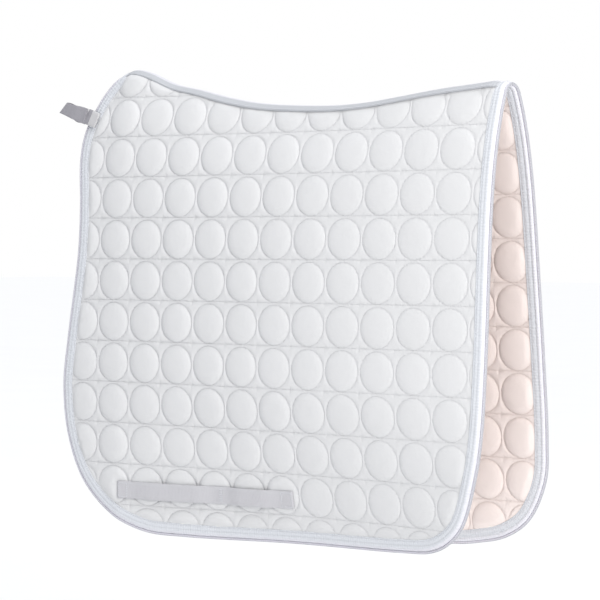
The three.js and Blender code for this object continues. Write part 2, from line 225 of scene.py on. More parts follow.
class Side:
    """One side of the pad: it turns places on the flat cloth into points in space and directions out of it."""

    def __init__(self, name):
        self.name = name
        self.sign = SIGN[name]
        self.x = np.arange(*TABLE_X, GRID_STEP)
        self.v = np.arange(*TABLE_V, GRID_STEP)
        curled = RIDGE_CURL * (1 - np.cos(np.linspace(0, np.pi / 2, CURL_STEPS)))
        self.depth = np.concatenate([curled, np.arange(RIDGE_CURL + GRID_STEP, TABLE_DEPTH, GRID_STEP)])
        z = spine_height(self.x)[:, None] - self.depth
        y = half_width(name, self.x[:, None], z)
        steps = np.hypot(np.diff(z, axis=1), np.diff(y, axis=1))
        self.run = np.hstack([np.zeros((len(self.x), 1)), np.cumsum(steps, axis=1)])
        to_datum = spine_height(self.x) - DATUM_Z
        self.ridge = np.array([np.interp(d, self.depth, r) for d, r in zip(to_datum, self.run)])
        grid = np.empty((len(self.x), len(self.v), 3))
        for i, x in enumerate(self.x):
            below = self.ridge[i] - self.v
            grid[i, :, 0] = x
            grid[i, :, 1] = self.sign * np.sign(below) * np.interp(np.abs(below), self.run[i], y[i])
            grid[i, :, 2] = np.interp(np.abs(below), self.run[i], z[i])
        normal = np.cross(np.gradient(grid, axis=0), np.gradient(grid, axis=1)) * -self.sign
        self.grid = grid
        self.normal = normal / np.linalg.norm(normal, axis=2, keepdims=True)
        self.edge = self.flat_edge()

    def ridge_at(self, x):
        return np.interp(x, self.x, self.ridge)

    def flat_v(self, x, z):
        """How far up the flat cloth a place on the surface is."""
        x, z = np.broadcast_arrays(np.asarray(x, float), np.asarray(z, float))
        i = np.clip(((x - self.x[0]) / GRID_STEP).astype(int), 0, len(self.x) - 2)
        share = (x - self.x[i]) / GRID_STEP
        depth = spine_height(x) - z
        low = np.array([np.interp(d, self.depth, self.run[j]) for d, j in zip(depth, i)])
        high = np.array([np.interp(d, self.depth, self.run[j + 1]) for d, j in zip(depth, i)])
        return self.ridge_at(x) - (low + (high - low) * share)

    def flat_edge(self):
        """The cut edge on the flat cloth, from the withers round to the loins."""
        line = catmull(FRONT_EDGE + BOTTOM_EDGE + REAR_EDGE[self.name])
        flat = np.column_stack([line[:, 0], self.flat_v(line[:, 0], line[:, 1])])
        return resampled(flat, GRID_STEP)

    def at(self, x, v, level=0.0):
        """Points in space, each at a level out of the middle surface, and the directions out of the cloth."""
        x, v = np.broadcast_arrays(np.asarray(x, float), np.asarray(v, float))
        fx = np.clip((x - self.x[0]) / GRID_STEP, 0, len(self.x) - 1.001)
        fv = np.clip((v - self.v[0]) / GRID_STEP, 0, len(self.v) - 1.001)
        i, j = fx.astype(int), fv.astype(int)
        a, b = (fx - i)[..., None], (fv - j)[..., None]

        def mixed(table):
            low = table[i, j] * (1 - b) + table[i, j + 1] * b
            high = table[i + 1, j] * (1 - b) + table[i + 1, j + 1] * b
            return low * (1 - a) + high * a

        normal = mixed(self.normal)
        normal /= np.linalg.norm(normal, axis=-1, keepdims=True)
        return mixed(self.grid) + normal * np.asarray(level, float)[..., None], normal


def resampled(line, step):
    """The same line with even steps of about the given length."""
    run = np.concatenate([[0], np.cumsum(np.linalg.norm(np.diff(line, axis=0), axis=1))])
    count = max(2, round(run[-1] / step) + 1)
    even = np.linspace(0, run[-1], count)
    return np.column_stack([np.interp(even, run, line[:, k]) for k in range(line.shape[1])])


def nearest_on(points, line):
    """Distance from each point to a line, and the nearest point on it."""
    a, b = line[:-1], line[1:]
    along = b - a
    length2 = (along**2).sum(1)
    distance = np.empty(len(points))
    nearest = np.empty((len(points), 2))
    for start in range(0, len(points), 4000):
        p = points[start:start + 4000, None, :]
        t = np.clip(((p - a) * along).sum(2) / length2, 0, 1)
        foot = a + t[..., None] * along
        gap = np.linalg.norm(p - foot, axis=2)
        best = gap.argmin(axis=1)
        rows = np.arange(len(best))
        distance[start:start + 4000] = gap[rows, best]
        nearest[start:start + 4000] = foot[rows, best]
    return distance, nearest


def is_inside(points, polygon):
    """Whether each point is in the polygon, by counting the edges to its left."""
    a, b = polygon, np.roll(polygon, -1, axis=0)
    inside = np.zeros(len(points), bool)
    for (ax, ay), (bx, by) in zip(a, b):
        if ay == by:
            continue
        crosses = (points[:, 1] > min(ay, by)) & (points[:, 1] <= max(ay, by))
        x = ax + (points[:, 1] - ay) * (bx - ax) / (by - ay)
        inside ^= crosses & (points[:, 0] < x)
    return inside


# ---- Meshes ----


def new_piece(name, points, faces, uv=None):
    """A smooth mesh from points in millimetres. Its UV map is each point's place on the flat cloth."""
    mesh = bpy.data.meshes.new(name)
    mesh.from_pydata((np.asarray(points) * 0.001).tolist(), [], [list(map(int, f)) for f in faces])
    mesh.polygons.foreach_set("use_smooth", np.full(len(mesh.polygons), True))
    if uv is not None:
        corners = np.empty(len(mesh.loops), np.int32)
        mesh.loops.foreach_get("vertex_index", corners)
        layer = mesh.uv_layers.new(name="flat")
        layer.data.foreach_set("uv", (np.asarray(uv) * 0.001)[corners].astype(np.float32).ravel())
    mesh.validate()
    mesh.update()
    piece = bpy.data.objects.new(name, mesh)
    bpy.context.scene.collection.objects.link(piece)
    return piece


def outward(piece):
    """Turns a closed mesh's faces outwards."""
    bm = bmesh.new()
    bm.from_mesh(piece.data)
    bmesh.ops.recalc_face_normals(bm, faces=bm.faces)
    bm.to_mesh(piece.data)
    bm.free()
    return piece


def cell_template(spokes, inner, outer):
    """One quilted square of side 1: rings inside the stitched circle, then rings that widen to the square."""
    angle = np.arange(spokes) * 2 * np.pi / spokes
    ray = np.column_stack([np.cos(angle), np.sin(angle)])
    square = 0.5 / np.abs(ray).max(axis=1)
    circle = ray * CIRCLE_RADIUS / PITCH
    border = ray * square[:, None]
    middle = np.array([0, -CIRCLE_DROP / PITCH[1]])
    rings = [middle + circle * r for r in inner]
    rings += [(middle + circle) * (1 - r) + border * r for r in outer]
    points = np.vstack([[middle], *rings])
    triangles = []
    for k in range(spokes):
        n = (k + 1) % spokes
        triangles.append((0, 1 + k, 1 + n))
        for ring in range(len(rings) - 1):
            a, b = 1 + ring * spokes, 1 + (ring + 1) * spokes
            triangles.append((a + k, b + k, b + n))
            triangles.append((a + k, b + n, a + n))
    return points, np.array(triangles)


def quilt_layout(side, template):
    """One side's flat cloth as points and triangles that follow the quilting, cut to the pad's outline."""
    shape, triangles = template
    phase = np.array(CIRCLE_PHASE[side.name])
    low = np.floor((side.edge.min(axis=0) - phase) / PITCH).astype(int) - 1
    high = np.ceil((QUILT_CORNER - phase) / PITCH).astype(int) + 1
    points, faces = [], []
    for i in range(low[0], high[0]):
        for j in range(low[1], high[1]):
            faces.append(triangles + len(shape) * len(points))
            points.append(phase + (shape + (i, j)) * PITCH)
    points, faces = np.vstack(points), np.vstack(faces)
    _, first, index = np.unique(np.round(points, 3), axis=0, return_index=True, return_inverse=True)
    points, faces = points[first], index.ravel()[faces]

    ridge_x = np.linspace(side.edge[-1, 0], side.edge[0, 0], 300)
    ridge = np.column_stack([ridge_x, side.ridge_at(ridge_x)])
    polygon = np.vstack([side.edge, ridge[1:-1]])
    inside = is_inside(points, polygon)
    faces = faces[inside[faces].any(axis=1)]
    used, faces = np.unique(faces, return_inverse=True)
    faces = faces.reshape(-1, 3)
    points, inside = points[used], inside[used]
    border = np.vstack([polygon, polygon[:1]])
    points[~inside] = nearest_on(points[~inside], border)[1]
    a, b, c = (points[faces[:, k]] for k in range(3))
    area = (b[:, 0] - a[:, 0]) * (c[:, 1] - a[:, 1]) - (b[:, 1] - a[:, 1]) * (c[:, 0] - a[:, 0])
    return points, faces[area > 1e-4]


CELL_NOISE = np.random.default_rng(11).normal(size=(3, 32, 32))


def ridge_level(x, face):
    """How far the cover (face 1) or the lining (face -1) stands out along the ridge."""
    return RIDGE_LEVEL[face] - WITHERS["thinner"] * smoothstep((WITHERS["from_x"] - x) / WITHERS["over_x"])


def quilt_level(side, points, face=1):
    """How far each place on the cover (face 1) or the lining (face -1) stands out of the middle surface."""
    phase = np.array(CIRCLE_PHASE[side.name])
    cell = np.floor((points - phase) / PITCH + 0.5).astype(int)
    local = points - phase - cell * PITCH
    r = np.hypot(local[:, 0], local[:, 1] + CIRCLE_DROP)
    noise = CELL_NOISE[:, cell[:, 0] % 32, cell[:, 1] % 32]
    inner = np.clip(1 - (r / CIRCLE_RADIUS) ** DOME[0], 0, 1) ** DOME[1]
    lean = 1 + PUFF_LEANS * (noise[1] * local[:, 0] + (noise[2] - 1.0) * local[:, 1]) / CIRCLE_RADIUS
    puff = PUFF * (1 + PUFF_VARIES * noise[0]) * inner * lean
    gap = np.maximum(r - CIRCLE_RADIUS, 0)
    row_gap = PITCH[1] / 2 - np.abs(local[:, 1])
    dip = ROW_DIP["share"] * np.exp(-row_gap / ROW_DIP["over"])
    star = STAR_PUFF * (1 - np.exp(-gap / STAR_RISE)) * (1 - dip)
    to_edge = nearest_on(points, side.edge[::2])[0]
    to_ridge = np.maximum(side.ridge_at(points[:, 0]) - points[:, 1], 0)
    free = smoothstep((to_edge - TAPE_WIDTH + TAPE_OVERLAP) / TAPE_RELEASE)
    free = free * smoothstep((to_ridge - RIDGE_TAPE + TAPE_OVERLAP) / TAPE_RELEASE)
    flatter = 1
    if face > 0:
        rearward = smoothstep((points[:, 0] - FLATTER["from_x"]) / FLATTER["over_x"])
        flatter = 1 - FLATTER["share"] * rearward
    open_level = SEAM_LEVEL + np.where(r < CIRCLE_RADIUS, puff, star) * flatter
    open_level = pressed_by_keeper(side, points, open_level)
    raised = smoothstep((to_edge - HEM_RISE["from"]) / HEM_RISE["over"])
    over_ridge = ridge_level(points[:, 0], face) - HEM_LEVEL
    hem = HEM_LEVEL + over_ridge * raised * (1 - smoothstep(to_ridge / RIDGE_FADE))
    return hem + (open_level - hem) * free


def pressed_by_keeper(side, points, level):
    """The keeper's webbing flattens the quilting beneath it."""
    x_low, x_high = KEEPER_ROUTE[0][0], KEEPER_ROUTE[-1][0]
    x = points[:, 0].clip(x_low, x_high)
    off_middle = np.abs(points[:, 1] - side.flat_v(x, keeper_z(x)))
    across = smoothstep((KEEPER_WIDTH / 2 + 7 - off_middle) / 7)
    outside = np.maximum(x_low - points[:, 0], points[:, 0] - x_high)
    limit = keeper_level(x) - KEEPER_THICK / 2 - 0.5
    return level + (np.minimum(level, limit) - level) * across * smoothstep((8 - outside) / 8)


def strip_frame(side, step):
    """Stations along the cut edge: flat places, outward flat directions, and the run from the withers."""
    line = resampled(side.edge, step)
    run = np.concatenate([[0], np.cumsum(np.linalg.norm(np.diff(line, axis=0), axis=1))])
    tangent = np.gradient(line, axis=0)
    tangent /= np.linalg.norm(tangent, axis=1, keepdims=True)
    out = np.column_stack([tangent[:, 1], -tangent[:, 0]])
    centre = line.mean(axis=0)
    if ((line - centre) * out).sum() < 0:
        out = -out
    for end, sign in ((0, -1), (-1, 1)):
        x = line[end, 0]
        ridge_dir = np.array([1.0, (side.ridge_at(x + 3) - side.ridge_at(x - 3)) / 6])
        ridge_dir *= sign / np.linalg.norm(ridge_dir)
        share = smoothstep(np.abs(run - run[end]) / END_TURN)[:, None]
        out = ridge_dir * (1 - share) + out * share
        out /= np.linalg.norm(out, axis=1, keepdims=True)
    return line, out, run


def ring_faces(stations, count):
    """The faces of a tube through rings of points, closed at both ends."""
    faces = []
    for i in range(stations - 1):
        for k in range(count):
            n = (k + 1) % count
            a, b = i * count, (i + 1) * count
            faces.append((a + k, b + k, b + n, a + n))
    faces.append(tuple(range(count)))
    faces.append(tuple(reversed(range((stations - 1) * count, stations * count))))
    return faces


def along_edge(side, profile, name):
    """A solid swept along the cut edge. The profile is a ring of (distance in from the edge, level)."""
    line, out, run = strip_frame(side, EDGE_STEP)
    ring = np.array(profile, float)
    flat = line[:, None, :] - out[:, None, :] * ring[None, :, 0, None]
    for end in (0, -1):
        flat[end, :, 1] = side.ridge_at(flat[end, :, 0])
    shape = flat.shape[:2]
    points, _ = side.at(flat[..., 0], flat[..., 1], np.broadcast_to(ring[:, 1], shape))
    uv = np.stack([np.broadcast_to(run[:, None], shape), np.broadcast_to(ring[:, 0], shape)], -1)
    piece = new_piece(name, points.reshape(-1, 3), ring_faces(len(line), len(ring)), uv.reshape(-1, 2))
    return outward(piece)


def tape_profile():
    """The bound edge's section: out along the cover side, round the cut edge, back along the lining side."""
    outer = np.array([
        (TAPE_WIDTH, 2.3), (12.1, 2.95), (11.5, 3.05), (STITCH_INSET, 2.55), (10.0, 3.1), (8.4, 3.45),
        (6.6, 3.3), (5.7, 3.0), (4.8, 3.35), (3.0, 3.45), (1.4, 3.0), (0.3, 2.3), (-0.8, 1.5), (-1.3, 0.0),
        (-1.2, -1.5), (-0.2, -2.6), (1.3, -3.1), (3.0, -3.0), (4.1, -2.2), (5.2, -3.0), (7.0, -3.35),
        (9.4, -3.2),
        (STITCH_INSET, -2.55), (11.5, -3.05), (12.1, -2.95), (TAPE_WIDTH, -2.3),
    ])
    along = np.gradient(outer, axis=0)
    along /= np.linalg.norm(along, axis=1, keepdims=True)
    inward = np.column_stack([-along[:, 1], along[:, 0]])
    inner = (outer + inward * TAPE_THICK)[1:-1]
    return np.vstack([outer, inner[::-1]])


def piping_profile():
    """The piping's round section, beside the cut edge."""
    angles = np.arange(PIPING_SIDES) * 2 * np.pi / PIPING_SIDES
    return [(-PIPING_STAND + PIPING_RADIUS * math.cos(t), PIPING_RADIUS * math.sin(t)) for t in angles]


# ---- Stitches ----

THREAD_RADIUS = 0.28
THREAD_SIDES = 5
EDGE_STITCH = 3.4
EDGE_STITCH_GAP = 0.9
EDGE_STITCH_LEVEL = 2.6


def stitch_mesh(name, starts, ends, normals):
    """Short bowed threads, each from a start to an end, whose middles stand out of the cloth."""
    starts, ends, normals = (np.asarray(a, float) for a in (starts, ends, normals))
    along = ends - starts
    length = np.linalg.norm(along, axis=1, keepdims=True)
    along = along / length
    across = np.cross(normals, along)
    across /= np.linalg.norm(across, axis=1, keepdims=True)
    up = np.cross(along, across)
    # Share of the length, lift in millimetres, and share of the radius.
    rings = [(0.0, -0.35, 0.3), (0.18, 0.12, 0.85), (0.5, 0.3, 1.0), (0.82, 0.12, 0.85), (1.0, -0.35, 0.3)]
    points = []
    for share, lift, size in rings:
        centre = starts + along * length * share + up * lift
        for k in range(THREAD_SIDES):
            t = 2 * math.pi * k / THREAD_SIDES
            points.append(centre + THREAD_RADIUS * size * (across * math.cos(t) + up * math.sin(t)))
    points = np.stack(points, axis=1)
    local = ring_faces(len(rings), THREAD_SIDES)
    count = points.shape[1]
    faces = [[k + count * i for k in f] for i in range(len(points)) for f in local]
    return new_piece(name, points.reshape(-1, 3), faces)


def edge_stitches(side, name):
    """A row of stitches on each face of the bound edge."""
    line, out, _ = strip_frame(side, EDGE_STITCH)
    flat = line - out * STITCH_INSET
    starts, ends, normals = [], [], []
    for face in (1, -1):
        points, normal = side.at(flat[:, 0], flat[:, 1], np.full(len(flat), EDGE_STITCH_LEVEL * face))
        step = points[1:] - points[:-1]
        size = np.linalg.norm(step, axis=1, keepdims=True)
        starts.append(points[:-1] + step * (EDGE_STITCH_GAP / 2 / size))
        ends.append(points[1:] - step * (EDGE_STITCH_GAP / 2 / size))
        normals.append(normal[:-1] * face)
    return stitch_mesh(name, np.vstack(starts), np.vstack(ends), np.vstack(normals))


# ---- Materials ----


class Shader:
    """A material's node tree, with short calls for the nodes it needs."""

    def __init__(self, name, colour, roughness, sheen=0.0):
        self.material = bpy.data.materials.new(name)
        self.material.use_nodes = True
        self.nodes = self.material.node_tree.nodes
        self.links = self.material.node_tree.links
        self.bsdf = self.nodes["Principled BSDF"]
        self.bsdf.inputs["Base Color"].default_value = (*colour, 1)
        self.bsdf.inputs["Roughness"].default_value = roughness
        self.bsdf.inputs["Sheen Weight"].default_value = sheen
        self.bsdf.inputs["Sheen Roughness"].default_value = 0.4
        self.bsdf.inputs["Specular IOR Level"].default_value = 0.3

    def node(self, kind, **settings):
        made = self.nodes.new(kind)
        for key, value in settings.items():
            setattr(made, key, value)
        return made

    def feed(self, socket, value):
        if isinstance(value, bpy.types.NodeSocket):
            self.links.new(value, socket)
        else:
            socket.default_value = value

    def math(self, operation, *values, clamp=False):
        made = self.node("ShaderNodeMath", operation=operation, use_clamp=clamp)
        for socket, value in zip(made.inputs, values):
            self.feed(socket, value)
        return made.outputs[0]

    def flat(self):
        """Place on the flat cloth, in metres."""
        uv = self.node("ShaderNodeUVMap", uv_map="flat").outputs["UV"]
        parts = self.node("ShaderNodeSeparateXYZ")
        self.links.new(uv, parts.inputs[0])
        return uv, parts.outputs["X"], parts.outputs["Y"]

    def place(self):
        return self.node("ShaderNodeTexCoord").outputs["Object"]

    def noise(self, vector, scale, detail=2.0, roughness=0.5):
        made = self.node("ShaderNodeTexNoise")
        self.feed(made.inputs["Vector"], vector)
        made.inputs["Scale"].default_value = scale
        made.inputs["Detail"].default_value = detail
        made.inputs["Roughness"].default_value = roughness
        return made.outputs["Fac"]

    def mixed(self, share, a, b):
        made = self.node("ShaderNodeMix", data_type="RGBA")
        self.feed(made.inputs["Factor"], share)
        sockets = [s for s in made.inputs if s.type == "RGBA"]
        for socket, value in zip(sockets, (a, b)):
            self.feed(socket, value if isinstance(value, bpy.types.NodeSocket) else (*value, 1))
        return next(s for s in made.outputs if s.type == "RGBA")

    def bump(self, height, distance, strength=1.0, normal=None):
        made = self.node("ShaderNodeBump")
        made.inputs["Strength"].default_value = strength
        made.inputs["Distance"].default_value = distance
        self.feed(made.inputs["Height"], height)
        if normal is not None:
            self.links.new(normal, made.inputs["Normal"])
        return made.outputs["Normal"]

    def weave(self, x, y, pitch):
        """A plain weave's height, from 0 to 1."""
        turn = 2 * math.pi / pitch
        a = self.math("SINE", self.math("MULTIPLY", x, turn))
        b = self.math("SINE", self.math("MULTIPLY", y, turn))
        return self.math("MULTIPLY_ADD", self.math("MULTIPLY", a, b), 0.5, 0.5)

    def finish(self, colour=None, roughness=None, normal=None):
        for name, value in (("Base Color", colour), ("Roughness", roughness), ("Normal", normal)):
            if value is not None:
                self.links.new(value, self.bsdf.inputs[name])
        return self.material


# The quilting's stitches, in metres, and the share of each that shows as thread.
STITCH_PITCH = 0.0032
STITCH_SHOWN = 0.74


def tinted(colour, *shares):
    """A colour with each channel times its share, or all times one share, kept within 1."""
    shares = shares if len(shares) > 1 else shares * 3
    return tuple(min(1.0, k * c) for k, c in zip(shares, colour))


def quilted_cloth(name, side, colour, seam_shade_colour, weave_pitch):
    """Cotton quilted in circles: weave, puckers by the seams, their threads, a faint unevenness and painted
    shade that darkens towards the seams.
    """
    s = Shader(name, colour, 0.85, sheen=0.12)
    uv, x, v = s.flat()
    half = [p * 0.0005 for p in PITCH]
    phase = [p * 0.001 for p in CIRCLE_PHASE[side]]
    local_x = s.math("WRAP", s.math("SUBTRACT", x, phase[0]), half[0], -half[0])
    local_v = s.math("WRAP", s.math("SUBTRACT", v, phase[1]), half[1], -half[1])
    low_v = s.math("ADD", local_v, CIRCLE_DROP * 0.001)
    squares = [s.math("MULTIPLY", part, part) for part in (local_x, low_v)]
    radius = s.math("SQRT", s.math("ADD", *squares))
    circle = CIRCLE_RADIUS * 0.001
    to_circle = s.math("ABSOLUTE", s.math("SUBTRACT", radius, circle))
    to_row = s.math("SUBTRACT", half[1], s.math("ABSOLUTE", local_v))
    to_seam = s.math("MINIMUM", to_circle, to_row)
    angle = s.math("ARCTAN2", low_v, local_x)
    turns = round(2 * math.pi * circle / STITCH_PITCH) / (2 * math.pi)
    on_circle = s.math("LESS_THAN", to_circle, 0.00035)
    circle_dash = s.math("LESS_THAN", s.math("FRACT", s.math("MULTIPLY", angle, turns)), STITCH_SHOWN)
    outside = s.math("GREATER_THAN", radius, circle + 0.0006)
    on_row = s.math("MULTIPLY", s.math("LESS_THAN", to_row, 0.0003), outside)
    row_dash = s.math("LESS_THAN", s.math("FRACT", s.math("DIVIDE", x, STITCH_PITCH)), STITCH_SHOWN)
    circle_thread = s.math("MULTIPLY", on_circle, circle_dash)
    thread = s.math("MAXIMUM", circle_thread, s.math("MULTIPLY", on_row, row_dash))

    groove_shade = s.math("EXPONENT", s.math("MULTIPLY", to_seam, -1 / 0.0011))
    near = s.math("EXPONENT", s.math("MULTIPLY", to_seam, -1 / 0.0042))
    patch = s.noise(uv, 22, detail=3)
    uneven = s.mixed(s.math("MULTIPLY_ADD", patch, 0.9, -0.2, clamp=True), colour, tinted(colour, 0.96))
    # Painted shade: the colour darkens towards each seam's groove.
    uneven = s.mixed(s.math("MULTIPLY", groove_shade, 0.22), uneven, seam_shade_colour)
    final = s.mixed(s.math("MULTIPLY", thread, 0.35), uneven, tinted(colour, 1.04))

    weave = s.weave(x, v, weave_pitch)
    pucker = s.noise(uv, 330, detail=2, roughness=0.6)
    crease = s.noise(uv, 95, detail=3, roughness=0.55)
    fine = s.bump(weave, 0.00004)
    puckered = s.bump(s.math("MULTIPLY", pucker, near), 0.0011, 0.8, fine)
    creased = s.bump(crease, 0.0009, 0.35, puckered)
    normal = s.bump(thread, 0.00025, 1.0, creased)
    roughness = s.math("MULTIPLY_ADD", patch, 0.14, 0.78)
    return s.finish(final, roughness, normal)


def satin(name, colour, rib=0.0009, gather=0.0034):
    """Bias tape: fine ribs across it, soft gathers between its stitches and a gentle shine, with a painted
    highlight on its fold, painted shade along its stitch rows and a crease, and painted shade on the piping's
    outer half.
    """
    s = Shader(name, colour, 0.5, sheen=0.25)
    outer = tinted(colour, 1.05, 1.02, 1.03)
    uv, run, cross = s.flat()
    ribs = s.weave(run, cross, rib)
    wave = s.math("SINE", s.math("MULTIPLY", run, 2 * math.pi / gather))
    wander = s.noise(uv, 160, detail=2)
    gathers = s.math("MULTIPLY_ADD", wave, 0.3, wander)
    patch = s.noise(uv, 30, detail=2)
    # Painted highlight, a little pinker in tone: the tape is drawn lighter from its fold round the cut edge to
    # about 3.5 mm in, and the piping all over.
    fold_highlight = s.math("MULTIPLY_ADD", cross, -400, 1.4, clamp=True)
    uneven = s.mixed(s.math("MULTIPLY", patch, 0.6), colour, tinted(colour, 0.94))
    tone = s.mixed(fold_highlight, uneven, outer)
    # Painted shade: thin darker lines along both stitch rows and along the crease 5.7 mm in from the cut edge.
    to_stitch = s.math("ABSOLUTE", s.math("SUBTRACT", s.math("ABSOLUTE", cross), STITCH_INSET * 0.001))
    to_crease = s.math("ABSOLUTE", s.math("SUBTRACT", cross, 0.0057))
    stitch_and_crease_shade = s.math("EXPONENT", s.math("MULTIPLY", s.math("MINIMUM", to_stitch, to_crease), -1 / 0.0006))
    tone = s.mixed(s.math("MULTIPLY", stitch_and_crease_shade, 0.4), tone, tinted(colour, 0.62))
    # Painted shade: the piping's outer half, from 2.9 mm beyond the cut edge and fully from 4 mm, is drawn
    # darker. On the spine tapes, whose across-place is negative on the left, it darkens the left half from
    # about 3 mm off the middle.
    beyond_edge_shade = s.math("MULTIPLY_ADD", cross, -900, -2.6, clamp=True)
    tone = s.mixed(beyond_edge_shade, tone, tinted(colour, 0.7))
    normal = s.bump(gathers, 0.0006, 0.7, s.bump(ribs, 0.00006))
    return s.finish(tone, s.math("MULTIPLY_ADD", wander, 0.2, 0.42), normal)


def webbing(name, colour, rib=0.0021):
    """Woven strap: a herringbone of warp ribs, with painted shade between them, and slightly fuzzy."""
    s = Shader(name, colour, 0.72, sheen=0.2)
    uv, run, cross = s.flat()
    lane = s.math("PINGPONG", cross, rib)
    slant = s.math("SINE", s.math("MULTIPLY", s.math("ADD", cross, lane), 2 * math.pi / 0.0014))
    ribs = s.math("SINE", s.math("MULTIPLY", run, 2 * math.pi / rib))
    height = s.math("MULTIPLY_ADD", ribs, 0.35, s.math("MULTIPLY_ADD", slant, 0.15, 0.5))
    patch = s.noise(uv, 60, detail=3)
    # Painted shade: the colour darkens where the weave is low, between the ribs.
    rib_shade = s.math("MULTIPLY_ADD", height, -0.25, 0.4, clamp=True)
    tone = s.mixed(rib_shade, colour, tinted(colour, 0.82))
    tone = s.mixed(s.math("MULTIPLY", patch, 0.4), tone, tinted(colour, 0.93))
    normal = s.bump(s.noise(uv, 900), 0.00012, 0.5, s.bump(height, 0.00022))
    return s.finish(tone, s.math("MULTIPLY_ADD", patch, 0.15, 0.66), normal)


def plain_fibre(name, colour, scale, roughness=0.7, depth=0.0003):
    """Thread and wadding: fine fibres and a little unevenness."""
    s = Shader(name, colour, roughness, sheen=0.15)
    place = s.place()
    fibres = s.noise(place, scale, detail=3)
    tone = s.mixed(s.math("MULTIPLY", fibres, 0.5), colour, tinted(colour, 0.88))
    return s.finish(tone, s.math("MULTIPLY_ADD", fibres, 0.2, roughness - 0.1), s.bump(fibres, depth))


COVER_COLOUR = (0.65, 0.657, 0.675)
# Painted shade in the cover's seam grooves.
COVER_SEAM_SHADE = (0.54, 0.545, 0.58)
LINING_COLOUR = (0.80, 0.725, 0.705)
# Painted shade in the lining's seam grooves.
LINING_SEAM_SHADE = (0.62, 0.50, 0.46)

MATERIALS = {
    "cover_left": quilted_cloth("cover_left", "left", COVER_COLOUR, COVER_SEAM_SHADE, 0.0009),
    "cover_right": quilted_cloth("cover_right", "right", COVER_COLOUR, COVER_SEAM_SHADE, 0.0009),
    "lining_left": quilted_cloth("lining_left", "left", LINING_COLOUR, LINING_SEAM_SHADE, 0.0012),
    "lining_right": quilted_cloth("lining_right", "right", LINING_COLOUR, LINING_SEAM_SHADE, 0.0012),
    "satin": satin("satin", (0.645, 0.67, 0.72)),
    "piping": satin("piping", (0.58, 0.59, 0.65), rib=0.0006, gather=0.0031),
    "keeper": webbing("keeper", (0.55, 0.55, 0.585)),
    "tab": webbing("tab", (0.33, 0.325, 0.36)),
    "tab_end": webbing("tab_end", (0.56, 0.56, 0.58)),
    "thread": plain_fibre("thread", (0.72, 0.74, 0.79), 2500),
    "wadding": plain_fibre("wadding", (0.85, 0.84, 0.8), 400, 0.95, 0.001),
}


def dress(piece, material):
    """Gives a piece its material."""
    piece.data.materials.clear()
    piece.data.materials.append(MATERIALS[material])


# ---- Pieces of each side ----


def bend_with_flap(piece):
    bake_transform(piece)


def both_nodes(side, part):
    return [f"{side.name}_ridge_{part}", f"{side.name}_flap_{part}"]


def add_cloth(side, layout, face, part, material):
    """The cover (face 1) or the lining (face -1) of one side, as quilted cloth with its own thickness."""
    flat, triangles = layout
    points, _ = side.at(flat[:, 0], flat[:, 1], quilt_level(side, flat, face) * face)
    if side.sign * face > 0:
        triangles = triangles[:, ::-1]
    piece = new_piece(f"{side.name}_quilted_{part}", points, triangles, flat)
    solid = piece.modifiers.new("cloth", "SOLIDIFY")
    solid.thickness = CLOTH_THICK * 0.001
    solid.offset = -1
    dress(piece, material)
    bend_with_flap(piece)
    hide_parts(*both_nodes(side, part))


def add_wadding(side):
    """The filling between the cover and the lining, thick in the puffs and thin at the seams."""
    flat, triangles = quilt_layout(side, cell_template(16, [0.5, 0.85, 1.0], [0.5, 1.0]))
    inset = CLOTH_THICK + 0.15
    top, _ = side.at(flat[:, 0], flat[:, 1], quilt_level(side, flat) - inset)
    under, _ = side.at(flat[:, 0], flat[:, 1], inset - quilt_level(side, flat, -1))
    count = len(flat)
    edges = np.sort(np.vstack([triangles[:, [0, 1]], triangles[:, [1, 2]], triangles[:, [2, 0]]]), axis=1)
    rim, uses = np.unique(edges, axis=0, return_counts=True)
    walls = [(a, b, b + count, a + count) for a, b in rim[uses == 1]]
    faces = [*triangles.tolist(), *(triangles[:, ::-1] + count).tolist(), *walls]
    piece = new_piece(f"{side.name}_fibre_wadding", np.vstack([top, under]), faces, np.vstack([flat, flat]))
    outward(piece)
    dress(piece, "wadding")
    bend_with_flap(piece)
    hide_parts(*both_nodes(side, "wadding"))


def bound_nodes(side, part):
    return [f"{side.name}_{place}_{part}" for place in ("ridge_front", "ridge_rear", "flap")]


def add_bound_edge(side):
    """The tape bound round the cut edge, the piping beside it and the stitches through the tape."""
    tape = along_edge(side, tape_profile(), f"{side.name}_bound_edge")
    dress(tape, "satin")
    bend_with_flap(tape)
    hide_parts(*bound_nodes(side, "binding"))
    cord = along_edge(side, piping_profile(), f"{side.name}_piping_cord")
    dress(cord, "piping")
    bend_with_flap(cord)
    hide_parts(*bound_nodes(side, "piping"))
    threads = edge_stitches(side, f"{side.name}_edge_stitches")
    dress(threads, "thread")
    bend_with_flap(threads)


# ---- Spine tapes ----

SPINE_TAPE_X = (-322.5, 236.0)
SPINE_TAPE_STEP = 3.0
SPINE_STITCH = 3.4
SPINE_STITCH_SEEN = 2.5


def spine_tape_level(x, face):
    """How far the tape's near layer stands out of the middle surface. It comes down to the hem at both ends."""
    rise = smoothstep(min(x - SPINE[0][0] - 3, SPINE[-1][0] - 3 - x) / 16)
    return (HEM_LEVEL + 0.1 + (ridge_level(x, face) - HEM_LEVEL) * rise) * face


